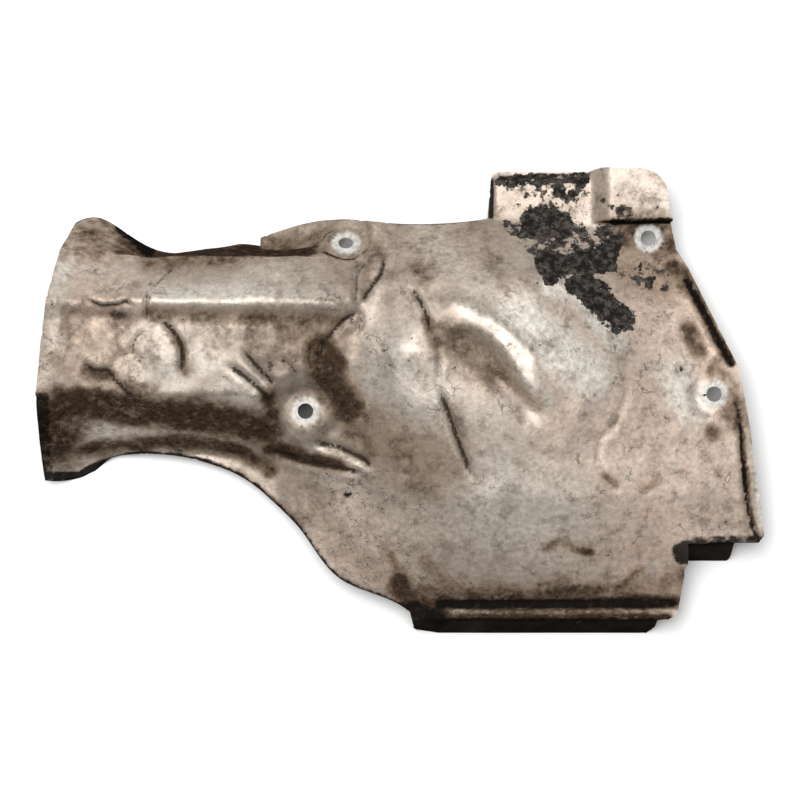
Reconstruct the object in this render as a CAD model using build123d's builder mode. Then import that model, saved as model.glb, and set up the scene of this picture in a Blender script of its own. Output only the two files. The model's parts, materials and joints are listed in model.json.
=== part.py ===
from build123d import *

import os
from math import radians, tan

# Heat shield of a transfer case, pressed from one aluminium sheet. A half tube with a flared
# mouth runs into a domed body with a bolting tab, a bottom hem with a skirt, and a tongue at the
# notch. X runs along the half tube, Y across it and Z up. The shield lies on the floor with its
# hollow side down, and the origin is under the middle of it.

# Sheet, and half the length and width of its box seen from above
sheet = 1.0
half_length = 165.4
half_width = 107.3

# Bolt seats
bolt_hole_diameter = 7.0
seat_diameter = 20.0
seat_wall_angle = 56.0
contact_ring_diameter = 12.6
contact_ring_height = 0.25
tube_seat_level = 33.0
far_seat_level = 20.0
far_seat_tilt = 34.0
right_seat_level = 25.5

# Half tube, across it
tube_crown = 50.5
near_lip_level = 8.0
far_shoulder_y = 66.0
far_shoulder_drop = 18.0
ridge_y = 45.0
step_run = 8.0
step_drop = 3.6
near_shoulder_y = 3.5
near_shoulder_drop = 7.0
tube_bend_radius = 4.0
foot_bend_radius = 2.0

# Half tube, along it
flare_x = -150.0
ear_x = -135.0
throat_x = -117.0
waist_x = -96.0
swell_x = -70.0
root_x = -40.0
tube_end_x = 4.0
throat_far_y = 72.0
throat_near_y = -22.5
far_flare = 20.0
near_flare = 16.5
mouth_rise = 5.0
swell = 4.0
root_spread = 12.0
tube_end_drop = 17.0

# Domed body
left_edge_x = -66.0
lobe_x = -42.0
valley_x = -12.0
crest_x = 26.0
right_slope_x = 62.0
plate_x = 100.0
right_plate_x = 136.0
right_end_x = 180.0
crest_height = 60.0
far_edge_y = 86.0
far_edge_level = 13.0
far_trim_y = 82.6
flank_y = -42.0
hem_inner_y = -93.0
hem_outer_y = -99.5
hem_level = 17.0
hem_left_x = 3.3
hem_right_x = 126.0
skirt_right_x = 116.5
skirt_spread = 10.5
far_bend_radius = 8.0
body_bend_radius = 22.0
hem_bend_radius = 2.5

# Blow that dented the crest
dent_x = 33.0
dent_y = 13.0
dent_floor = 52.5
dent_radius = 70.0

# Bolting tab with its raised corner
tab_left_x = 42.0
tab_right_x = 121.5
tab_far_y = 102.5
tab_near_y = 52.0
tab_level = 16.0
tab_wall_draft = 10.0
corner_left_x = 94.0
corner_near_y = 82.5
corner_rise = 8.0
corner_ramp = 8.0
corner_radius = 13.0

# Tongue turned down at the notch
notch_y = -64.5
tongue_left_x = 131.3
tongue_right_x = 151.8
tongue_reach = 10.3
tongue_level = 18.0
tongue_corner_radius = 4.0

# The forms run this far past every edge of the sheet, and this far below the floor
past_edge = 130.0
below_floor = -24.0
clear_above = 100.0

tube_seat = Plane(origin=(-44.0, -4.0, tube_seat_level))
far_seat = Plane(origin=(-26.0, 73.0, far_seat_level)).rotated((-far_seat_tilt, 0, 0))
right_seat = Plane(origin=(141.7, 3.7, right_seat_level))
tab_seat = Plane(origin=(112.6, 75.2, tab_level))
pressed_seats = [tube_seat, far_seat, right_seat]
bolt_seats = pressed_seats + [tab_seat]


def tube_section(x, far_y, shoulder_y, near_y, crown, foot=near_lip_level):
    """Points across the half tube at x, from past the far wall to past the near lip."""
    return x, [
        (past_edge, below_floor / 2),
        (far_y, below_floor / 2),
        (shoulder_y, crown - far_shoulder_drop),
        (ridge_y, crown),
        (ridge_y - step_run, crown - step_drop),
        (near_shoulder_y, crown - near_shoulder_drop),
        (near_y, foot),
        (-past_edge, foot),
    ]


overrun_x = -half_length - 10.1
mouth_crown = tube_crown + mouth_rise
mouth_far_y = throat_far_y + far_flare
mouth_near_y = throat_near_y - near_flare
mouth_shoulder_y = far_shoulder_y + far_flare / 5
root_far_y = throat_far_y + root_spread
root_near_y = throat_near_y - root_spread
tube_end_crown = tube_crown - tube_end_drop
tube_radii = [foot_bend_radius] + 4 * [tube_bend_radius] + [foot_bend_radius]
tube_sections = [
    tube_section(overrun_x, mouth_far_y + 4, mouth_shoulder_y, mouth_near_y - 7, mouth_crown, -8.0),
    tube_section(flare_x, mouth_far_y, mouth_shoulder_y - 1, mouth_near_y, tube_crown + 2, -4.0),
    tube_section(ear_x, mouth_far_y - 3, far_shoulder_y + 1, throat_near_y - 5, tube_crown, 2.0),
    tube_section(throat_x, throat_far_y + 2, far_shoulder_y, throat_near_y, tube_crown, near_lip_level - 1),
    tube_section(waist_x, throat_far_y, far_shoulder_y, throat_near_y - 1, tube_crown),
    tube_section(swell_x, throat_far_y + swell, far_shoulder_y, throat_near_y - swell, tube_crown),
    tube_section(root_x, root_far_y, far_shoulder_y, root_near_y, tube_crown),
    tube_section(tube_end_x, root_far_y, far_shoulder_y, root_near_y, tube_end_crown, near_lip_level / 2),
]


def body_section(x, far_level, far_bend, crest, flank, hem):
    """Points across the body at x, from past the far edge down to the foot of the skirt."""
    return x, [
        (past_edge, far_level - 1),
        (far_edge_y, far_level),
        far_bend,
        crest,
        (flank_y, flank),
        (hem_inner_y, hem),
        (hem_outer_y, hem),
        (hem_outer_y - skirt_spread, below_floor / 4),
    ]


body_radii = [far_bend_radius] + 3 * [body_bend_radius] + 2 * [hem_bend_radius]
body_sections = [
    body_section(left_edge_x, 2.0, (55, 5.0), (22, 7.0), 5.0, 3.5),
    body_section(lobe_x, far_edge_level - 5, (55, 18.0), (22, 27.0), 16.0, hem_level - 7),
    body_section(valley_x, far_edge_level - 1, (56, 38.0), (24, 48.0), 29.0, hem_level - 3),
    body_section(crest_x, far_edge_level, (56, crest_height - 14), (25, crest_height), 40.0, hem_level),
    body_section(right_slope_x, far_edge_level, (54, 41.0), (18, crest_height - 4), 42.0, hem_level),
    body_section(plate_x, far_edge_level, (52, 26.0), (6, 41.0), 37.0, hem_level),
    body_section(right_plate_x, far_edge_level - 1, (50, 18.0), (0, 28.0), 28.0, hem_level),
    body_section(right_end_x, far_edge_level - 3, (50, 14.0), (0, 19.5), 21.5, hem_level - 1),
]


def pressed_form(sections, radii, inset):
    """Solid under a run of sections, drawn in by the inset."""
    with BuildPart() as form:
        for x, points in sections:
            with BuildSketch(Plane.YZ.offset(x)):
                with BuildLine():
                    top = FilletPolyline(*points, radius=radii)
                    low_near = (points[-1][0], below_floor)
                    low_far = (points[0][0], below_floor)
                    Polyline(top @ 1, low_near, low_far, top @ 0)
                make_face()
                if inset:
                    offset(amount=-inset, kind=Kind.INTERSECTION)
        loft()
    return form.part


def straight_form(plane, profile, length, inset):
    """Solid with one profile, drawn in by the inset, from the plane along its normal."""
    with BuildPart() as form:
        with BuildSketch(plane):
            with BuildLine():
                Polyline(*profile, close=True)
            make_face()
            if inset:
                offset(amount=-inset, kind=Kind.INTERSECTION)
        extrude(amount=length)
    return form.part


def tab_form(inset):
    """The flat tab, with walls on its far and left sides that lean out to the floor."""
    with BuildPart() as form:
        with BuildSketch(Plane.XY.offset(tab_level - inset)):
            with Locations((tab_left_x + inset, tab_far_y - inset)):
                Rectangle(past_edge, tab_far_y - tab_near_y, align=(Align.MIN, Align.MAX))
        extrude(amount=tab_level - below_floor, taper=-tab_wall_draft, dir=(0, 0, -1))
    return form.part


def corner_form(inset):
    """The raised far corner of the tab, ramped on its left and open at the sheet's edge."""
    ramp_foot = corner_left_x - corner_ramp
    far_right = corner_left_x + past_edge
    corner_level = tab_level + corner_rise
    profile = [
        (ramp_foot, -below_floor),
        (ramp_foot, 1 - tab_level),
        (corner_left_x, -corner_level),
        (far_right, -corner_level),
        (far_right, -below_floor),
    ]
    near_wall = Plane(origin=(0, corner_near_y + inset, 0), x_dir=(1, 0, 0), z_dir=(0, 1, 0))
    return straight_form(near_wall, profile, past_edge, inset)


def tongue_form(inset):
    """The tongue that is turned down to the floor at the notch; its sides are open."""
    opening = past_edge / 8 if inset else 0
    profile = [
        (flank_y, below_floor),
        (flank_y, tongue_level - 2),
        (notch_y, tongue_level),
        (notch_y - tongue_reach, -2),
        (notch_y - tongue_reach, below_floor),
    ]
    left_side = Plane.YZ.offset(tongue_left_x - opening)
    width = tongue_right_x - tongue_left_x
    return straight_form(left_side, profile, width + 2 * opening, inset)


def pressing(inset):
    """All that lies under the sheet's outer face, or with the sheet as inset, its inner face."""
    bend = inset * tan(radians(seat_wall_angle / 2))
    upper_radius = seat_diameter / 2 + bend
    lower_radius = seat_diameter / 2 - bend
    seat_height = clear_above / 4
    growth = seat_height / tan(radians(seat_wall_angle))
    above = (Align.CENTER, Align.CENTER, Align.MIN)
    below = (Align.CENTER, Align.CENTER, Align.MAX)
    with BuildPart() as form:
        add(pressed_form(body_sections, body_radii, inset))
        with BuildSketch():
            with Locations((tongue_left_x - sheet, notch_y + inset)):
                Rectangle(past_edge, past_edge, align=(Align.MIN, Align.MAX))
        extrude(amount=clear_above, both=True, mode=Mode.SUBTRACT)
        with Locations((dent_x, dent_y, dent_floor + dent_radius)):
            Sphere(dent_radius + inset, mode=Mode.SUBTRACT)
        add(pressed_form(tube_sections, tube_radii, inset))
        add(tab_form(inset))
        add(corner_form(inset))
        add(tongue_form(inset))
        for seat in pressed_seats:
            with Locations(seat.offset(-inset)):
                Cone(
                    upper_radius,
                    upper_radius + growth,
                    seat_height,
                    align=above,
                    mode=Mode.SUBTRACT,
                )
                Cone(lower_radius + growth, lower_radius, seat_height, align=below)
    return form.part


# Outline that the sheet is trimmed to, as seen from above

tab_trim_y = tab_far_y + 3.5
with BuildSketch() as outline:
    with BuildLine():
        rim = Spline(
            (-half_length, mouth_near_y + 2.8),
            (1 - half_length, throat_near_y + 17.5),
            (4 - half_length, ridge_y - 20),
            (8.5 - half_length, far_shoulder_y - 10),
            (14 - half_length, mouth_far_y - 8.5),
        )
        far_edge = Spline(
            rim @ 1,
            (ear_x - 9.5, mouth_far_y - 6),
            (ear_x, mouth_far_y - 7.5),
            (ear_x + 8.5, mouth_far_y - 11),
            (throat_x, throat_far_y + 1.2),
            (waist_x - 6, throat_far_y - 1),
            (waist_x + 8, throat_far_y - 0.4),
            (swell_x, throat_far_y + swell - 0.8),
            (root_x - 7.5, root_far_y - 2),
            (root_x + 11, root_far_y + 0.2),
            (crest_x - 40, far_trim_y + 0.2),
            (crest_x, far_trim_y),
            (tab_left_x - 3, far_trim_y + 1.7),
        )
        right_side = FilletPolyline(
            far_edge @ 1,
            (tab_left_x - 1.2, tab_trim_y),
            (corner_left_x - corner_ramp, tab_trim_y),
            (corner_left_x - corner_ramp / 2, half_width),
            (tab_right_x - 1.5, half_width - 1),
            (tab_right_x, corner_near_y + 6.5),
            (tab_right_x + 4, corner_near_y - 12.5),
            (tab_right_x + 9.5, corner_near_y - 21),
            (tongue_right_x + 1.2, 16),
            (half_length - 6.9, -12),
            (half_length, notch_y + 3.5),
            (half_length - 2.4, notch_y),
            (tongue_right_x, notch_y),
            (tongue_right_x, notch_y - tongue_reach),
            (tongue_left_x - 1.9, notch_y - tongue_reach),
            (hem_right_x, hem_outer_y + 2.5),
            (hem_right_x - 4.4, hem_outer_y - 0.3),
            (skirt_right_x + 0.5, hem_outer_y - 0.3),
            (skirt_right_x, hem_outer_y - 4),
            (skirt_right_x - 3, -half_width),
            (hem_left_x + 13.7, -half_width),
            (hem_left_x + 2.2, 1.8 - half_width),
            (hem_left_x, hem_outer_y + 3.2),
            radius=[2.5, 2, 2, corner_radius, 10, 4, 4, 12, 20, 1.5, 1, 0.2]
            + [tongue_corner_radius, 1, 1.5, 1, 0.2, 1, 1, 2, 2],
        )
        near_edge = Spline(
            right_side @ 1,
            (-13, -88),
            (-29, -81),
            (-38, -71.5),
            (-47.5, -58),
            (-57, -48.5),
            (swell_x - 0.5, throat_near_y - 14.5),
            (waist_x + 7, throat_near_y - 5.8),
            (waist_x - 11.5, throat_near_y - 1.9),
            (throat_x - 9, throat_near_y - 1.7),
            (ear_x - 1, throat_near_y - 3.9),
            (ear_x - 8, throat_near_y - 9.5),
            (flare_x - 2.5, mouth_near_y + 3.2),
            rim @ 0,
        )
    make_face()


with BuildPart() as heat_shield:
    add(pressing(0))
    add(pressing(sheet), mode=Mode.SUBTRACT)
    extrude(outline.sketch, amount=clear_above, mode=Mode.INTERSECT)
    for seat in bolt_seats:
        with Locations(seat.offset(-sheet / 2)):
            Cylinder(
                contact_ring_diameter / 2,
                sheet / 2 + contact_ring_height,
                align=(Align.CENTER, Align.CENTER, Align.MIN),
            )
        with Locations(seat):
            Cylinder(bolt_hole_diameter / 2, bolt_hole_diameter, mode=Mode.SUBTRACT)

os.makedirs("parts", exist_ok=True)
heat_shield.part.label = "heat_shield"
export_step(heat_shield.part, "parts/heat_shield.step")
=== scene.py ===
import json

import bmesh
import bpy
import numpy as np
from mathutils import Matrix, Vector
from mathutils.bvhtree import BVHTree
from mathutils.kdtree import KDTree


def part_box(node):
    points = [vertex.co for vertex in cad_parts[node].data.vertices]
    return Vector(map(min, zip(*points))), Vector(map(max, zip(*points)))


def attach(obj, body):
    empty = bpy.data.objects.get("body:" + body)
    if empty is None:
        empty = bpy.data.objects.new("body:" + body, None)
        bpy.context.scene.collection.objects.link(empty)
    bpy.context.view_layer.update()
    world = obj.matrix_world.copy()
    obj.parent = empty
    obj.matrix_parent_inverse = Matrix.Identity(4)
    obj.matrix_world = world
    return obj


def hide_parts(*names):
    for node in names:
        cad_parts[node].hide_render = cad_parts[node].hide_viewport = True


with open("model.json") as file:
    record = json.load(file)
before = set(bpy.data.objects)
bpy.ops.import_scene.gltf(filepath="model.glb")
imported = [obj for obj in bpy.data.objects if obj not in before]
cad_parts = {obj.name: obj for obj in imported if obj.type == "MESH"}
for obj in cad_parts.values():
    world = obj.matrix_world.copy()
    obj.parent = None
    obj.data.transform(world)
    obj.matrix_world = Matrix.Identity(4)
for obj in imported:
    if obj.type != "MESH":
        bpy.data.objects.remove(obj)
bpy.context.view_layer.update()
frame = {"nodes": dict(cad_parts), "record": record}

# Camera, straight above the shield with the tab at the top of the picture.
# Marks on the sheet are placed by where this camera sees them, in an 800 by 800 picture.
camera_height = 1.2
picture_scale = 0.000465
picture_middle = (402.7, 402.2)
camera_data = bpy.data.cameras.new("camera")
camera_data.sensor_width = 36.0
camera_data.lens = camera_data.sensor_width * camera_height / (800 * picture_scale)
camera = bpy.data.objects.new("camera", camera_data)
camera.location = (
    (400 - picture_middle[0]) * picture_scale,
    (picture_middle[1] - 400) * picture_scale,
    camera_height,
)
bpy.context.scene.collection.objects.link(camera)
bpy.context.scene.camera = camera


def seen_at(points):
    """Where the camera sees each point, across and down the picture."""
    scale = picture_scale * (1 - points[:, 2] / camera_height)
    across = 400 + (points[:, 0] - camera.location.x) / scale
    down = 400 - (points[:, 1] - camera.location.y) / scale
    return across, down


# The pressed sheet, its outer face.
# It is that of the solid, so the forms, the outline and the holes are the same, and it is cut
# into a fine grid so that the creases and dents of a used shield can be pressed into it.
sheet = 0.001
lowest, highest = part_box("heat_shield")
skin = bmesh.new()
skin.from_mesh(frame["nodes"]["heat_shield"].data)
bmesh.ops.remove_doubles(skin, verts=skin.verts[:], dist=5e-6)
skin.normal_update()
solid = BVHTree.FromBMesh(skin)
up = Vector((0, 0, 1))
thin_limit = 1.12 * sheet
least_rise = 0.12
unwanted = []
for face in skin.faces:
    middle = face.calc_center_median()
    through = solid.ray_cast(middle - face.normal * 2e-5, -face.normal)[3]
    above = solid.ray_cast(middle + face.normal * 3e-4, up)[3]
    thin = through is not None and through < thin_limit
    if above is not None or not (thin or face.normal.z > least_rise):
        unwanted.append(face)
bmesh.ops.delete(skin, geom=unwanted, context="FACES")

grid_spacing = 0.0017
for axis in range(2):
    across_axis = Vector((axis == 0, axis == 1, 0))
    for step in range(1, int((highest[axis] - lowest[axis]) / grid_spacing) + 1):
        everything = skin.verts[:] + skin.edges[:] + skin.faces[:]
        at = across_axis * (lowest[axis] + step * grid_spacing)
        bmesh.ops.bisect_plane(skin, geom=everything, dist=1e-6, plane_co=at, plane_no=across_axis)
wall_spacing = 0.003
for step in range(1, int(highest.z / wall_spacing) + 1):
    steep = [f for f in skin.faces if f.normal.z < 0.4]
    wall_edges = dict.fromkeys(e for f in steep for e in f.edges)
    wall_vertices = dict.fromkeys(v for f in steep for v in f.verts)
    walls = [*steep, *wall_edges, *wall_vertices]
    bmesh.ops.bisect_plane(skin, geom=walls, dist=1e-6, plane_co=up * step * wall_spacing, plane_no=up)
bmesh.ops.remove_doubles(skin, verts=skin.verts[:], dist=0.25 * grid_spacing)
bmesh.ops.dissolve_degenerate(skin, edges=skin.edges[:], dist=1e-5)
bolt_holes = [Vector(mount["pos_m"]) for mount in frame["record"]["mounts"]]
hole_reach = 0.006
loose_faces = 300
zipped_edges = 30
filled_edges = 40


def joined_groups(items, neighbours):
    """Groups of faces or edges that are joined to one another, always in the same order."""
    loose = dict.fromkeys(items)
    while loose:
        group = [loose.popitem()[0]]
        for item in group:
            for other in neighbours(item):
                if other in loose:
                    del loose[other]
                    group.append(other)
        yield group
        loose = dict.fromkeys(item for item in loose if item.is_valid)


def faces_beside(face):
    """The faces that share an edge with this one."""
    return [f for e in face.edges for f in e.link_faces]


def edges_beside(edge):
    """The edges that share an end with this one."""
    return [e for v in edge.verts for e in v.link_edges]


def by_bolt_hole(edge):
    """Whether an edge is at one of the bolt holes."""
    return min((edge.verts[0].co - middle).length for middle in bolt_holes) < hole_reach


def open_edges():
    """The open edges that are not those of a bolt hole."""
    return [e for e in skin.edges if e.is_boundary and not by_bolt_hole(e)]


for island in joined_groups(skin.faces, faces_beside):
    if len(island) < loose_faces:
        bmesh.ops.delete(skin, geom=island, context="FACES")
for rim in joined_groups(open_edges(), edges_beside):
    if len(rim) < zipped_edges:
        rim_vertices = list(dict.fromkeys(v for e in rim for v in e.verts))
        bmesh.ops.remove_doubles(skin, verts=rim_vertices, dist=0.8 * grid_spacing)
bmesh.ops.holes_fill(skin, edges=open_edges(), sides=zipped_edges)
doubled = [e for e in skin.edges if len(e.link_faces) > 2]
extra = dict.fromkeys(min(e.link_faces, key=lambda face: face.calc_area()) for e in doubled)
bmesh.ops.delete(skin, geom=list(extra), context="FACES")
bmesh.ops.holes_fill(skin, edges=open_edges(), sides=zipped_edges)
for rim in joined_groups(open_edges(), edges_beside):
    if len(rim) < filled_edges:
        bmesh.ops.edgeloop_fill(skin, edges=rim)
hole_radius = 0.0035
hole_edges = [e for e in skin.edges if e.is_boundary and by_bolt_hole(e)]
bmesh.ops.subdivide_edges(skin, edges=hole_edges, cuts=2)
for mount in frame["record"]["mounts"]:
    middle = Vector(mount["pos_m"])
    axis = Vector(mount["axis"])
    for vertex in skin.verts:
        away = vertex.co - middle
        if vertex.is_boundary and away.length < hole_reach:
            out = away - axis * away.dot(axis)
            vertex.co += out.normalized() * (hole_radius - out.length)

# Softening of the bends.
# All of the sheet is smoothed a little, and more so where the half tube runs into the body and at
# the dent in the crest, where the metal flowed. Each place is across, down, radius and passes.
soft_places = [
    (365, 330, 30, 30),
    (365, 290, 26, 30),
    (355, 380, 26, 24),
    (330, 455, 24, 16),
    (450, 385, 36, 40),
    (500, 395, 30, 40),
    (440, 345, 22, 30),
    (480, 360, 60, 8),
    (120, 390, 60, 6),
    (620, 290, 60, 10),
    (480, 500, 150, 10),
    (250, 300, 90, 4),
]


def smooth(vertices, passes):
    """Evens out these vertices a number of times."""
    for turn in range(passes):
        bmesh.ops.smooth_vert(
            skin, verts=vertices, factor=0.5, use_axis_x=True, use_axis_y=True, use_axis_z=True
        )


inner_vertices = [v for v in skin.verts if not v.is_boundary]
smooth(inner_vertices, 5)
across, down = seen_at(np.array([v.co for v in inner_vertices]))
for place_across, place_down, radius, passes in soft_places:
    near = np.hypot(across - place_across, down - place_down) < radius
    smooth([v for v, take in zip(inner_vertices, near) if take], passes)

# Creases, dents and folds of the used sheet.
# Creases are sharp kinks: depth in mm, half width and line in the picture. Folds are broad swells,
# and hollows where their height is below zero.
creases = [
    (1.0, 2.0, [(177, 260), (173, 268), (150, 288), (146, 297), (146, 310), (147, 328)]),
    (1.5, 3.0, [(158, 320), (170, 327), (177, 337), (182, 347), (183, 363), (181, 374)]),
    (1.2, 2.6, [(87, 295), (95, 303), (103, 307), (118, 305), (125, 300), (133, 308)]),
    (1.0, 2.2, [(147, 333), (138, 335), (133, 345), (133, 353), (140, 363), (143, 371)]),
    (0.9, 2.0, [(132, 353), (120, 355), (113, 363), (110, 370)]),
    (1.3, 2.8, [(80, 360), (93, 370), (108, 370), (115, 380), (127, 393), (137, 403)]),
    (1.5, 3.0, [(227, 364), (247, 378), (262, 392), (273, 408)]),
    (1.4, 2.8, [(243, 350), (260, 370), (277, 387)]),
    (1.0, 2.5, [(277, 356), (289, 365), (299, 376)]),
    (1.0, 2.5, [(310, 340), (308, 355), (312, 372)]),
    (1.4, 2.6, [(385, 254), (380, 273), (370, 288), (361, 304)]),
    (1.0, 2.4, [(370, 258), (358, 272), (355, 298), (360, 305)]),
    (1.3, 2.4, [(362, 309), (342, 322), (325, 343), (318, 363)]),
    (1.0, 2.2, [(361, 307), (361, 325), (353, 334)]),
    (1.7, 2.8, [(310, 441), (337, 447), (360, 458), (376, 470)]),
    (1.5, 2.8, [(268, 452), (303, 462), (343, 469), (368, 474)]),
    (1.6, 2.4, [(411, 286), (421, 303), (427, 317), (429, 330)]),
    (0.8, 2.6, [(430, 332), (438, 346), (440, 362), (438, 385)]),
    (2.0, 2.8, [(437, 386), (446, 408), (456, 437), (466, 463), (473, 481)]),
    (0.8, 2.4, [(389, 553), (396, 572), (409, 591)]),
    (0.8, 2.2, [(297, 498), (297, 516)]),
    (0.7, 2.0, [(602, 475), (608, 480)]),
    (0.6, 2.0, [(642, 492), (650, 493)]),
    (0.5, 3.0, [(628, 387), (617, 423), (600, 440), (598, 463)]),
    (0.5, 2.0, [(550, 545), (560, 541), (568, 548), (578, 543), (586, 550)]),
    (0.5, 2.0, [(618, 585), (628, 581), (637, 572)]),
    (1.0, 2.4, [(440, 603), (520, 603), (600, 602), (672, 600)]),
    (0.7, 1.8, [(445, 610), (540, 610), (668, 609)]),
    (1.2, 2.4, [(683, 276), (700, 308), (715, 340), (729, 363)]),
    (0.9, 2.0, [(739, 405), (741, 440), (746, 500), (752, 532)]),
]
folds = [
    (2.0, 11, [(455, 304), (482, 318), (504, 338), (522, 362), (538, 400)]),
    (-3.6, 14, [(440, 338), (466, 342), (488, 360), (508, 386), (530, 408)]),
    (1.6, 16, [(402, 350), (396, 380), (414, 404)]),
    (-1.6, 12, [(330, 335), (322, 360), (334, 398)]),
    (1.2, 6, [(312, 449), (340, 457), (368, 470)]),
    (0.5, 8, [(150, 297), (200, 298)]),
    (0.7, 9, [(250, 294), (330, 303)]),
    (-1.0, 9, [(152, 313), (240, 316), (335, 322)]),
    (0.9, 7, [(238, 362), (254, 376), (268, 394)]),
    (0.9, 7, [(262, 356), (278, 374), (290, 384)]),
    (1.4, 14, [(152, 348), (160, 362)]),
    (0.9, 8, [(335, 268), (345, 282), (352, 295)]),
    (-0.8, 8, [(322, 276), (334, 290)]),
    (0.8, 7, [(250, 263), (300, 280), (330, 286)]),
    (-0.9, 10, [(90, 312), (120, 316)]),
    (0.8, 18, [(100, 340), (120, 345)]),
    (-0.8, 12, [(84, 400), (110, 408)]),
    (0.6, 10, [(590, 395), (570, 430), (560, 450)]),
    (0.5, 12, [(560, 470), (640, 470)]),
    (0.9, 3, [(448, 613), (540, 614), (668, 613)]),
    (0.7, 4, [(689, 276), (706, 306), (722, 336), (734, 360)]),
    (0.8, 4, [(746, 420), (752, 500), (757, 530)]),
]


def distance_to(line):
    """How far each seen place is from a line in the picture, and how far along the line it is."""
    starts = np.array(line[:-1], float)
    ends = np.array(line[1:], float)
    lengths = np.hypot(*(ends - starts).T)
    before = np.concatenate([[0], np.cumsum(lengths)])
    nearest = np.full(across.shape, 1e9)
    share = np.zeros(across.shape)
    for start, end, length, passed in zip(starts, ends, lengths, before):
        run = (end - start) / length
        along = np.clip((across - start[0]) * run[0] + (down - start[1]) * run[1], 0, length)
        gap = np.hypot(across - start[0] - run[0] * along, down - start[1] - run[1] * along)
        closer = gap < nearest
        nearest[closer] = gap[closer]
        share[closer] = (passed + along[closer]) / before[-1]
    return nearest, share


skin.normal_update()
skin.verts.ensure_lookup_table()
places = np.array([v.co for v in skin.verts])
normals = np.array([v.normal for v in skin.verts])
across, down = seen_at(places)
edge_points = [v.co for v in skin.verts if v.is_boundary]
edge_tree = KDTree(len(edge_points))
for number, point in enumerate(edge_points):
    edge_tree.insert(point, number)
edge_tree.balance()
edge_gap = np.array([edge_tree.find(v.co)[2] for v in skin.verts])
push = np.zeros(len(places))
crease = np.zeros(len(places))
for depth, width, line in creases:
    gap, share = distance_to(line)
    taper = np.clip(6 * np.minimum(share, 1 - share) + 0.15, 0, 1)
    kink = np.exp(-((gap / width) ** 2)) - 0.35 * np.exp(-(((gap - 2.4 * width) / (1.5 * width)) ** 2))
    push -= depth * kink * taper
    # Painted shade along each crease, darker for deeper creases.
    crease_shade = np.clip(depth, 0, 1.4) / 1.4 * np.exp(-((gap / (1.1 * width)) ** 2))
    crease = np.maximum(crease, crease_shade * taper)
for height, width, line in folds:
    gap, share = distance_to(line)
    push += height * np.exp(-((gap / width) ** 2))
dice = np.random.default_rng(7)
ripple = np.zeros(len(places))
for wavelength, size in ((0.034, 0.35), (0.021, 0.22), (0.013, 0.12)):
    for turn in range(9):
        angle = dice.uniform(0, 2 * np.pi)
        wave = (places[:, 0] * np.cos(angle) + places[:, 1] * np.sin(angle)) * 2 * np.pi / wavelength
        ripple += size / 3 * np.sin(wave * dice.uniform(0.8, 1.25) + dice.uniform(0, 2 * np.pi))
crumple = 0.35 + 0.9 * np.clip((430 - across) / 150, 0, 1)
push += ripple * crumple
push *= np.clip(edge_gap / 0.004, 0, 1)
push = np.minimum(push, 1000 * (highest.z - 0.0003 - places[:, 2]) / np.maximum(normals[:, 2], 0.3))
places += normals * (0.001 * push)[:, None]
for vertex, place in zip(skin.verts, places):
    vertex.co = place
skin.normal_update()
folded = {}
for face in skin.faces:
    if face.normal.dot(sum((v.normal for v in face.verts), Vector())) < 0.5 * len(face.verts):
        folded.update(dict.fromkeys(v for v in face.verts if not v.is_boundary))
smooth(list(folded), 6)
places = np.array([v.co for v in skin.verts])
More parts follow.
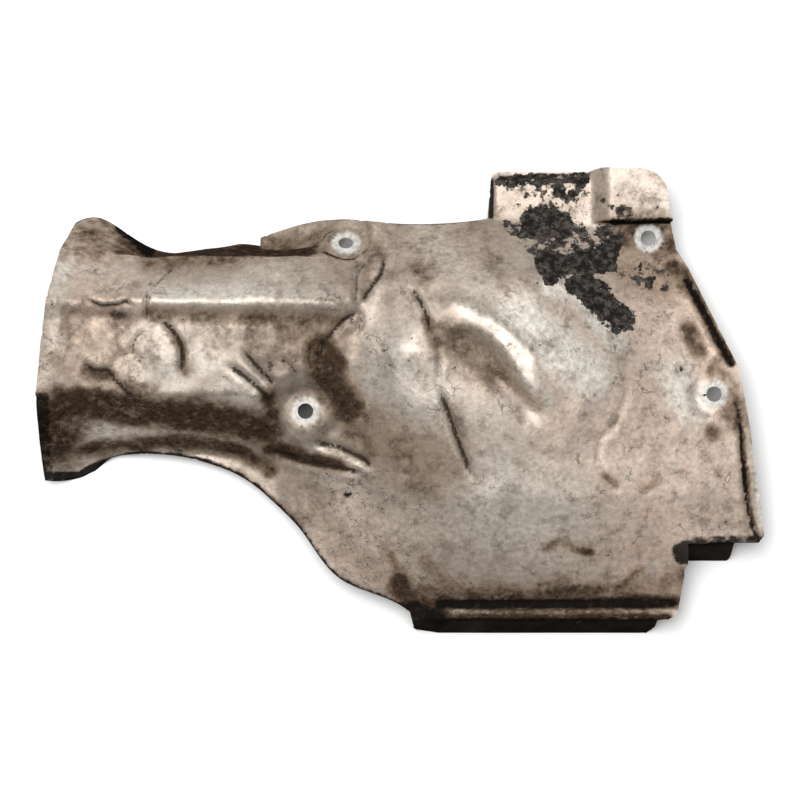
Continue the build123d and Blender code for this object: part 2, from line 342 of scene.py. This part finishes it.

# Stains, tar and scuffs on the sheet, from years of heat and road dirt, with painted shade and painted
# highlights.
# Each stroke is half width, strength and line in the picture. The rings around the bolt holes are
# bare metal, where the bolts' flanges kept the dirt off.
# Brown road dirt and heat stains, together with painted shade: the tube's lower wall, the step under the
# ridge, the wall beside the near seat and the hollows.
grime_and_shade_strokes = [
    (17, 0.95, [(62, 402), (110, 404), (150, 412), (200, 417), (250, 425), (266, 432)]),
    (26, 0.95, [(48, 420), (62, 440)]),
    (12, 0.5, [(84, 372), (110, 380), (150, 390)]),
    (10, 0.6, [(150, 314), (200, 316), (260, 318), (338, 322)]),
    (19, 1.0, [(320, 350), (330, 378), (346, 405)]),
    (10, 0.8, [(268, 396), (272, 412), (272, 428)]),
    (9, 0.9, [(268, 449), (305, 456), (340, 464)]),
    (30, 0.35, [(215, 330), (270, 350), (310, 350)]),
    (26, 0.3, [(360, 430), (400, 450), (430, 460)]),
    (26, 0.5, [(445, 338), (470, 350), (488, 372)]),
    (12, 0.5, [(414, 268), (428, 282)]),
    (9, 0.6, [(428, 322), (440, 345)]),
    (12, 0.45, [(450, 410), (466, 450)]),
    (9, 0.55, [(500, 372), (520, 392), (538, 404)]),
    (8, 0.55, [(95, 312), (120, 316)]),
    (9, 0.7, [(86, 370), (110, 376)]),
    (7, 0.6, [(172, 332), (184, 352), (184, 372)]),
    (9, 1.0, [(440, 603), (560, 604), (674, 601)]),
    (16, 0.6, [(610, 596), (650, 590), (680, 582)]),
    (14, 0.9, [(400, 585), (412, 604), (440, 616)]),
    (6, 0.9, [(684, 274), (702, 308), (730, 362)]),
    (12, 0.8, [(672, 268), (692, 290)]),
    (10, 0.7, [(690, 330), (700, 352)]),
    (4, 0.8, [(736, 404), (742, 440), (748, 505), (756, 534)]),
    (20, 0.55, [(630, 268), (664, 284)]),
    (30, 0.66, [(632, 234), (664, 240)]),
    (8, 0.6, [(108, 226), (128, 234), (148, 250)]),
    (8, 0.5, [(76, 228), (64, 256)]),
    (12, 0.4, [(330, 268), (350, 284)]),
    (9, 0.5, [(372, 262), (362, 290)]),
    (7, 0.55, [(105, 462), (180, 458), (240, 477), (280, 508), (300, 527)]),
    (9, 0.8, [(70, 452), (100, 448), (180, 440), (240, 450), (270, 470)]),
    (24, 0.35, [(300, 480), (330, 540), (380, 575)]),
    (30, 0.25, [(500, 590), (600, 585)]),
    (9, 0.75, [(712, 432), (713, 434)]),
    (52, 0.4, [(80, 326), (126, 340)]),
    (36, 0.36, [(60, 350), (90, 380)]),
    (42, 0.5, [(366, 436), (430, 468)]),
    (26, 0.58, [(84, 234), (112, 238)]),
    (5, 0.9, [(446, 607), (560, 607), (670, 606)]),
    (5, 1.0, [(446, 617), (560, 617), (668, 617)]),
    (40, 0.4, [(262, 338), (330, 332)]),
    (60, 0.25, [(420, 520), (520, 560), (640, 565)]),
    (34, 0.12, [(505, 190), (575, 200)]),
    (22, 0.3, [(625, 195), (650, 205)]),
    (60, 0.4, [(410, 246), (470, 252)]),
    (24, 0.55, [(286, 330), (322, 335)]),
    (30, 0.5, [(318, 240), (366, 246)]),
    (14, 0.75, [(420, 594), (520, 598), (600, 594)]),
    (20, 0.35, [(690, 300), (722, 352)]),
    (20, 0.5, [(718, 372), (738, 420)]),
    (14, 0.35, [(742, 470), (750, 536)]),
    (16, 0.55, [(150, 258), (230, 256), (310, 240)]),
    (26, 0.4, [(296, 410), (318, 422)]),
    (6, 0.65, [(545, 548), (560, 541), (572, 548), (590, 552)]),
    (7, 0.65, [(616, 588), (630, 580), (640, 570)]),
    (9, 0.6, [(424, 560), (440, 580), (470, 592)]),
    (8, 0.55, [(480, 584), (530, 590), (566, 580)]),
    (14, 0.35, [(640, 548), (676, 560)]),
    (10, 0.5, [(386, 548), (398, 574)]),
    (44, 0.22, [(470, 545), (600, 575)]),
    (5, 0.6, [(604, 476), (616, 484)]),
    (5, 0.5, [(642, 490), (654, 484)]),
]
pink_strokes = [
    (90, 1.0, [(660, 330), (665, 420), (670, 500)]),
    (50, 0.8, [(560, 330), (590, 400)]),
    (40, 0.35, [(520, 195), (640, 195)]),
    (22, 0.9, [(514, 306), (570, 366)]),
    (40, 0.5, [(90, 250), (100, 340)]),
    (36, 0.5, [(345, 525), (380, 560)]),
    (60, 0.4, [(600, 540), (660, 560)]),
]
# Painted highlights on lit facets, ridges, rims and hems, and bare metal at scuffs and chips.
highlight_and_scuff_strokes = [
    (17, 0.3, [(196, 350), (220, 366), (246, 392)]),
    (24, 0.55, [(152, 348), (164, 366)]),
    (9, 0.4, [(150, 295), (240, 294), (330, 300)]),
    (9, 0.65, [(67, 252), (56, 300), (53, 345)]),
    (11, 0.6, [(470, 310), (500, 332), (524, 360), (540, 400)]),
    (26, 0.3, [(404, 352), (398, 384), (420, 406)]),
    (20, 1.0, [(516, 310), (548, 340), (590, 376)]),
    (20, 1.0, [(548, 336), (588, 372)]),
    (5, 0.9, [(753, 430), (759, 525)]),
    (9, 0.9, [(548, 288), (575, 292), (600, 325), (618, 345)]),
    (17, 0.8, [(676, 376), (690, 408)]),
    (20, 0.15, [(288, 412), (306, 412), (318, 420)]),
    (16, 0.5, [(430, 240), (480, 290)]),
    (40, 0.35, [(500, 500), (560, 520)]),
    (12, 0.8, [(460, 612), (474, 622)]),
    (20, 0.3, [(630, 185), (655, 205)]),
    (7, 0.6, [(316, 449), (340, 457), (366, 469)]),
    (22, 0.05, [(330, 236), (360, 244)]),
]
speckle_strokes = [
    (52, 0.9, [(340, 492), (352, 530), (385, 565)]),
    (26, 0.95, [(366, 486), (384, 500)]),
    (30, 0.9, [(510, 192), (575, 205)]),
    (26, 0.6, [(620, 205), (640, 200)]),
    (40, 0.6, [(650, 275), (690, 330)]),
    (40, 0.5, [(440, 590), (670, 590)]),
    (40, 0.5, [(120, 345), (165, 360)]),
    (60, 0.35, [(250, 350), (300, 420)]),
    (30, 0.5, [(560, 545), (600, 550)]),
    (18, 0.6, [(290, 415), (320, 425)]),
]
tar_strokes = [
    (15, 1.0, [(532, 224), (560, 226)]),
    (21, 0.56, [(548, 246), (602, 244)]),
    (13, 1.0, [(546, 262), (560, 264)]),
    (8, 1.0, [(546, 268), (550, 278)]),
    (14, 1.0, [(585, 262), (606, 260)]),
    (14, 1.0, [(588, 288), (606, 306), (622, 320)]),
    (9, 0.9, [(574, 284), (596, 286)]),
    (7, 0.8, [(508, 226), (520, 232)]),
    (6, 0.8, [(500, 181), (545, 179), (585, 178)]),
    (9, 0.6, [(560, 190), (575, 200)]),
    (6, 0.6, [(606, 202), (620, 210)]),
    (9, 0.6, [(640, 278), (660, 284)]),
    (24, 0.34, [(512, 192), (572, 200)]),
    (12, 0.45, [(610, 206), (630, 212)]),
    (16, 0.45, [(630, 268), (668, 280)]),
]
# Painted shade, near black: the skirts, the notch tab, the far and left walls, the grooves along the right
# edge and the lines under steps.
black_shade_strokes = [
    (9, 1.0, [(408, 626), (530, 627), (655, 627)]),
    (12, 1.0, [(684, 553), (732, 553)]),
    (3, 1.0, [(491, 180), (491, 216)]),
    (5, 0.8, [(440, 604), (560, 604), (672, 603)]),
    (12, 0.8, [(412, 612), (438, 622)]),
    (8, 0.8, [(122, 226), (148, 249)]),
    (9, 0.7, [(42, 400), (44, 470)]),
    (5, 0.9, [(44, 476), (80, 476), (104, 464)]),
    (3, 0.9, [(686, 280), (703, 310), (731, 364)]),
    (2, 0.8, [(739, 410), (742, 450), (747, 505), (754, 534)]),
    (3, 0.9, [(612, 222), (670, 221)]),
    (5, 0.7, [(690, 541), (760, 540)]),
]


def painted(strokes, softness=0.6):
    """How strongly the strokes cover each vertex, fading out over part of their width."""
    cover = np.zeros(len(places))
    for width, strength, line in strokes:
        gap, share = distance_to(line)
        fade = np.clip((width * (1 + softness) - gap) / (2 * softness * width), 0, 1)
        cover = np.maximum(cover, strength * fade * fade * (3 - 2 * fade))
    return cover


skin.normal_update()
lean = np.array([v.normal.z for v in skin.verts])
ring = np.zeros(len(places))
for mount in frame["record"]["mounts"]:
    away = places - np.array(mount["pos_m"])
    height = away @ np.array(mount["axis"])
    reach = np.sqrt(np.maximum((away**2).sum(1) - height**2, 0))
    ring = np.maximum(ring, (np.abs(height) < 0.003) * np.clip((0.0068 - reach) / 0.0008, 0, 1))
# Steep walls are painted darker, as painted shade where they turn away from the overhead light.
steep = np.clip((0.62 - lean) / 0.4, 0, 1)
# Painted shade on the half tube's far wall, seen edge-on from above, and a thin line of painted shade along
# the near edges.
far_wall = np.clip((0.5 - lean) / 0.2, 0, 1)
far_wall *= np.clip((across - 110) / 70, 0, 1)
far_wall *= np.clip((350 - across) / 30, 0, 1)
near_edge = np.exp(-((edge_gap / 0.0016) ** 2))
near_side = np.clip((down - 440) / 10, 0, 1) * np.clip((430 - across) / 30, 0, 1)
layers = {
    "grime_and_shade": np.maximum(painted(grime_and_shade_strokes, 0.9), steep),
    "black_shade": np.maximum(painted(black_shade_strokes, 0.4), np.maximum(0.42 * far_wall, near_edge * near_side)),
    "pink": painted(pink_strokes, 0.9),
    "highlights_and_scuffs": painted(highlight_and_scuff_strokes, 0.8),
    "speckle": painted(speckle_strokes, 0.9),
    "tar": painted(tar_strokes, 0.5),
    "crease": crease,
    "ring": ring,
}
for face in skin.faces:
    face.smooth = True
for name, values in layers.items():
    layer = skin.verts.layers.float.new(name)
    for vertex, value in zip(skin.verts, values):
        vertex[layer] = value

sheet_mesh = bpy.data.meshes.new("pressed_sheet")
skin.to_mesh(sheet_mesh)
skin.free()
pressed_sheet = bpy.data.objects.new("pressed_sheet", sheet_mesh)
bpy.context.scene.collection.objects.link(pressed_sheet)
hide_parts("heat_shield")
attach(pressed_sheet, "root")

# Finish of the sheet: dull aluminium under heat stains, dirt and torn tar, with painted shade and painted
# highlights.
# The painted layers say where each lies, and noise of several sizes breaks up their edges.
metal = bpy.data.materials.new("stained_aluminium_with_painted_light")
metal.use_nodes = True
nodes = metal.node_tree.nodes
links = metal.node_tree.links
surface = nodes["Principled BSDF"]
position = nodes.new("ShaderNodeTexCoord").outputs["Object"]


def feed(socket, value):
    """Sets a socket to a value, or links it to another socket."""
    if isinstance(value, bpy.types.NodeSocket):
        links.new(value, socket)
    elif isinstance(value, tuple):
        socket.default_value = (*value, 1.0)
    else:
        socket.default_value = value


def layer_value(name):
    """One of the sheet's painted layers."""
    node = nodes.new("ShaderNodeAttribute")
    node.attribute_name = name
    return node.outputs["Fac"]


def noise(size, detail=4.0, roughness=0.6, stretch=None):
    """Cloudy noise with features of about this size in metres."""
    node = nodes.new("ShaderNodeTexNoise")
    node.inputs["Scale"].default_value = 1 / size
    node.inputs["Detail"].default_value = detail
    node.inputs["Roughness"].default_value = roughness
    vector = position
    if stretch:
        turned = nodes.new("ShaderNodeMapping")
        links.new(position, turned.inputs["Vector"])
        turned.inputs["Rotation"].default_value = (0, 0, stretch[0])
        turned.inputs["Scale"].default_value = (1, stretch[1], 1)
        vector = turned.outputs["Vector"]
    links.new(vector, node.inputs["Vector"])
    return node.outputs["Fac"]


def sum_of(operation, a, b=0.0, c=0.0):
    """A sum, product or other arithmetic of up to three values."""
    node = nodes.new("ShaderNodeMath")
    node.operation = operation
    for socket, value in zip(node.inputs, (a, b, c)):
        feed(socket, value)
    return node.outputs[0]


def ramp(value, low, high, start=0.0, end=1.0):
    """Runs smoothly from start to end as the value goes from low to high."""
    node = nodes.new("ShaderNodeMapRange")
    node.interpolation_type = "SMOOTHSTEP"
    for socket, number in zip(node.inputs, (value, low, high, start, end)):
        feed(socket, number)
    return node.outputs["Result"]


def mixed(share, first, second, blend="MIX"):
    """Two colours mixed by a share."""
    node = nodes.new("ShaderNodeMix")
    node.data_type = "RGBA"
    node.blend_type = blend
    feed(node.inputs[0], share)
    feed(node.inputs[6], first)
    feed(node.inputs[7], second)
    return node.outputs[2]


clouds = noise(0.05, 5.0, 0.55)
blotches = noise(0.012, 6.0, 0.65)
grain = noise(0.0022, 5.0, 0.7)
specks = noise(0.0011, 3.0, 0.8)
scratches = noise(0.004, 4.0, 0.6, (0.75, 9.0))
grime_and_shade = layer_value("grime_and_shade")
black_shade = layer_value("black_shade")
tar = layer_value("tar")
crease_line = layer_value("crease")
speckle = layer_value("speckle")
highlights_and_scuffs = layer_value("highlights_and_scuffs")
ring_mark = layer_value("ring")

colour = mixed(ramp(clouds, 0.35, 0.65), (0.39, 0.33, 0.275), (0.53, 0.465, 0.405))
pink_share = sum_of("MULTIPLY", layer_value("pink"), ramp(blotches, 0.2, 0.6))
colour = mixed(pink_share, colour, (0.78, 0.62, 0.515))
# Lighter where highlights are painted and where the metal is scuffed bare.
colour = mixed(sum_of("MULTIPLY", highlights_and_scuffs, ramp(blotches, 0.25, 0.5)), colour, (0.93, 0.88, 0.80))
colour = mixed(ramp(scratches, 0.56, 0.72, 0.0, 0.35), colour, (0.66, 0.60, 0.55))
colour = mixed(ramp(blotches, 0.48, 0.70, 0.0, 0.55), colour, (0.20, 0.15, 0.115))
colour = mixed(ramp(noise(0.028, 6.0, 0.6), 0.5, 0.75, 0.0, 0.45), colour, (0.21, 0.16, 0.12))
colour = mixed(ramp(grain, 0.35, 0.68, 0.35, 0.0), colour, (0.13, 0.10, 0.08))
# Darkening by the dirt layer: brown dirt, with painted shade on steep walls, steps and hollows.
uneven = sum_of("MULTIPLY", sum_of("SUBTRACT", blotches, 0.5), ramp(grime_and_shade, 0.0, 0.5, 0.0, 1.0))
ragged = sum_of("SUBTRACT", noise(0.0045, 5.0, 0.7), 0.5)
uneven = sum_of("MULTIPLY_ADD", ragged, ramp(grime_and_shade, 0.0, 0.5, 0.0, 0.75), uneven)
stain_and_shade = sum_of("ADD", uneven, grime_and_shade)
stain_and_shade = sum_of("MULTIPLY", ramp(stain_and_shade, 0.05, 0.88), 0.98)
colour = mixed(ramp(grime_and_shade, 0.05, 0.75, 0.0, 0.85), colour, (0.85, 0.73, 0.59), "MULTIPLY")
colour = mixed(stain_and_shade, colour, mixed(ramp(grain, 0.35, 0.65), (0.016, 0.0095, 0.006), (0.046, 0.028, 0.018)))
wander = sum_of("ABSOLUTE", sum_of("SUBTRACT", noise(0.016, 3.0, 0.55), 0.5))
scribble = ramp(wander, 0.002, 0.012, 1.0, 0.0)
scribble = sum_of("MULTIPLY", scribble, ramp(noise(0.022, 3.0, 0.5), 0.52, 0.62))
colour = mixed(sum_of("MULTIPLY", scribble, 0.7), colour, (0.10, 0.075, 0.058))
patches = ramp(noise(0.007, 6.0, 0.75), 0.52, 0.66, 0.0, 0.62)
colour = mixed(patches, colour, (0.17, 0.13, 0.10))
dots = ramp(sum_of("MULTIPLY_ADD", speckle, 0.15, specks), 0.60, 0.72)
dots = sum_of("MULTIPLY", dots, ramp(noise(0.005, 5.0, 0.65), 0.42, 0.62, 0.2, 1.0))
colour = mixed(sum_of("MULTIPLY", dots, 0.8), colour, (0.06, 0.046, 0.036))
# Painted shade, almost black, in the creases.
crease_shade_line = ramp(sum_of("MULTIPLY_ADD", sum_of("SUBTRACT", grain, 0.5), 0.9, crease_line), 0.3, 0.85)
colour = mixed(sum_of("MULTIPLY", crease_shade_line, 0.95), colour, (0.022, 0.015, 0.011))
# Near-black painted shade on the walls, skirts and under steps, broken up at its edges.
black_edge_noise = sum_of("SUBTRACT", noise(0.004, 5.0, 0.7), 0.5)
black = ramp(sum_of("MULTIPLY_ADD", black_edge_noise, ramp(black_shade, 0.0, 0.5, 0.0, 1.5), black_shade), 0.2, 0.8)
colour = mixed(sum_of("MULTIPLY", black, 0.96), colour, (0.006, 0.005, 0.0045))
torn = sum_of("MULTIPLY_ADD", sum_of("SUBTRACT", blotches, 0.5), 1.9, sum_of("MULTIPLY", tar, 0.98))
torn = sum_of("MULTIPLY_ADD", sum_of("SUBTRACT", grain, 0.5), 0.6, torn)
torn = sum_of("MULTIPLY_ADD", sum_of("SUBTRACT", noise(0.005, 5.0, 0.7), 0.5), 1.7, torn)
tarred = ramp(torn, 0.42, 0.55)
tar_grain = ramp(noise(0.003, 5.0, 0.75), 0.42, 0.68)
tar_colour = mixed(tar_grain, (0.012, 0.0105, 0.0095), (0.08, 0.071, 0.063))
colour = mixed(tarred, colour, tar_colour)
ring_colour = mixed(ramp(grain, 0.3, 0.6), (0.30, 0.29, 0.26), (0.56, 0.55, 0.52))
colour = mixed(sum_of("MULTIPLY", ring_mark, 0.9), colour, ring_colour)
feed(surface.inputs["Base Color"], colour)

dull = sum_of("MAXIMUM", sum_of("MAXIMUM", stain_and_shade, sum_of("MULTIPLY", ring_mark, 0.45)), tarred)
dull = sum_of("MAXIMUM", dull, sum_of("MAXIMUM", black, crease_shade_line))
feed(surface.inputs["Metallic"], ramp(dull, 0.0, 0.8, 0.62, 0.0))
feed(surface.inputs["Specular IOR Level"], ramp(dull, 0.0, 0.8, 0.5, 0.0))
rough = sum_of("MULTIPLY_ADD", grain, 0.18, ramp(dull, 0.0, 1.0, 0.42, 0.62))
feed(surface.inputs["Roughness"], rough)
relief = sum_of("MULTIPLY_ADD", grain, 0.35, sum_of("MULTIPLY", blotches, 0.9))
relief = sum_of("MULTIPLY_ADD", tarred, 0.5, relief)
bump = nodes.new("ShaderNodeBump")
bump.inputs["Strength"].default_value = 0.55
bump.inputs["Distance"].default_value = 0.0007
links.new(relief, bump.inputs["Height"])
links.new(bump.outputs["Normal"], surface.inputs["Normal"])
pressed_sheet.data.materials.append(metal)

# The hollow side of the sheet, which faced the pipe: dark grey with a brown film, kept this dark so that
# little light bounces under the shield and the floor there and in the bolt holes lies in shade.
# The inner face follows the outer one, and what would stick out under the floor or past the
# outline is brought back to the solid's box.
hollow = bpy.data.materials.new("hollow_side")
hollow.use_nodes = True
nodes = hollow.node_tree.nodes
links = hollow.node_tree.links
surface = nodes["Principled BSDF"]
position = nodes.new("ShaderNodeTexCoord").outputs["Object"]
film = noise(0.02, 6.0, 0.65)
film_colour = mixed(ramp(film, 0.35, 0.65), (0.03, 0.025, 0.02), (0.10, 0.088, 0.078))
feed(surface.inputs["Base Color"], film_colour)
surface.inputs["Metallic"].default_value = 0.4
surface.inputs["Roughness"].default_value = 0.55
pressed_sheet.data.materials.append(hollow)
thickness = pressed_sheet.modifiers.new("thickness", "SOLIDIFY")
thickness.thickness = sheet
thickness.offset = -1.0
thickness.material_offset = 1
thickness.material_offset_rim = 0
thickened = pressed_sheet.evaluated_get(bpy.context.evaluated_depsgraph_get())
thick_mesh = bpy.data.meshes.new_from_object(thickened)
pressed_sheet.modifiers.clear()
pressed_sheet.data = thick_mesh
bpy.data.meshes.remove(sheet_mesh)
corners = np.zeros(3 * len(thick_mesh.vertices))
thick_mesh.vertices.foreach_get("co", corners)
thick_mesh.vertices.foreach_set("co", np.clip(corners.reshape(-1, 3), lowest, highest).ravel())
thick_mesh.set_sharp_from_angle(angle=0.9)

# Floor, wide and white.
# It is matt paper that the shield lies on with its hollow side down, and it takes the shadow.
floor_mesh = bpy.data.meshes.new("floor")
plane = bmesh.new()
bmesh.ops.create_grid(plane, x_segments=1, y_segments=1, size=4.0)
plane.to_mesh(floor_mesh)
plane.free()
floor = bpy.data.objects.new("floor", floor_mesh)
bpy.context.scene.collection.objects.link(floor)
paper = bpy.data.materials.new("paper")
paper.use_nodes = True
paper_surface = paper.node_tree.nodes["Principled BSDF"]
paper_surface.inputs["Base Color"].default_value = (0.85, 0.85, 0.85, 1)
paper_surface.inputs["Roughness"].default_value = 0.9
paper_surface.inputs["Specular IOR Level"].default_value = 0.0
floor.data.materials.append(paper)

# Light: a soft sky that is bright overhead and a little on the far side.
# A wide lamp stands over the far left.
world = bpy.data.worlds.new("world")
world.use_nodes = True
sky_nodes = world.node_tree.nodes
sky_links = world.node_tree.links
direction = sky_nodes.new("ShaderNodeTexCoord").outputs["Generated"]
slope = sky_nodes.new("ShaderNodeVectorMath")
slope.operation = "DOT_PRODUCT"
slope.inputs[1].default_value = (-0.08, 0.17, 0.98)
sky_links.new(direction, slope.inputs[0])
sky_ramp = sky_nodes.new("ShaderNodeMapRange")
sky_ramp.inputs["From Min"].default_value = 0.25
sky_ramp.inputs["From Max"].default_value = 1.0
sky_ramp.inputs["To Min"].default_value = 0.06
sky_ramp.inputs["To Max"].default_value = 0.95
sky_links.new(slope.outputs["Value"], sky_ramp.inputs["Value"])
sky_links.new(sky_ramp.outputs["Result"], sky_nodes["Background"].inputs["Strength"])
sky_nodes["Background"].inputs["Color"].default_value = (1.0, 0.985, 0.97, 1)
bpy.context.scene.world = world
lamp_data = bpy.data.lights.new("window", "AREA")
lamp_data.energy = 28.0
lamp_data.size = 1.1
lamp = bpy.data.objects.new("window", lamp_data)
lamp.location = (-0.25, 0.4, 1.45)
lamp.rotation_euler = (Vector((0, 0, 0)) - lamp.location).to_track_quat("-Z", "Y").to_euler()
bpy.context.scene.collection.objects.link(lamp)

# The picture's colours.
bpy.context.scene.view_settings.view_transform = "Standard"
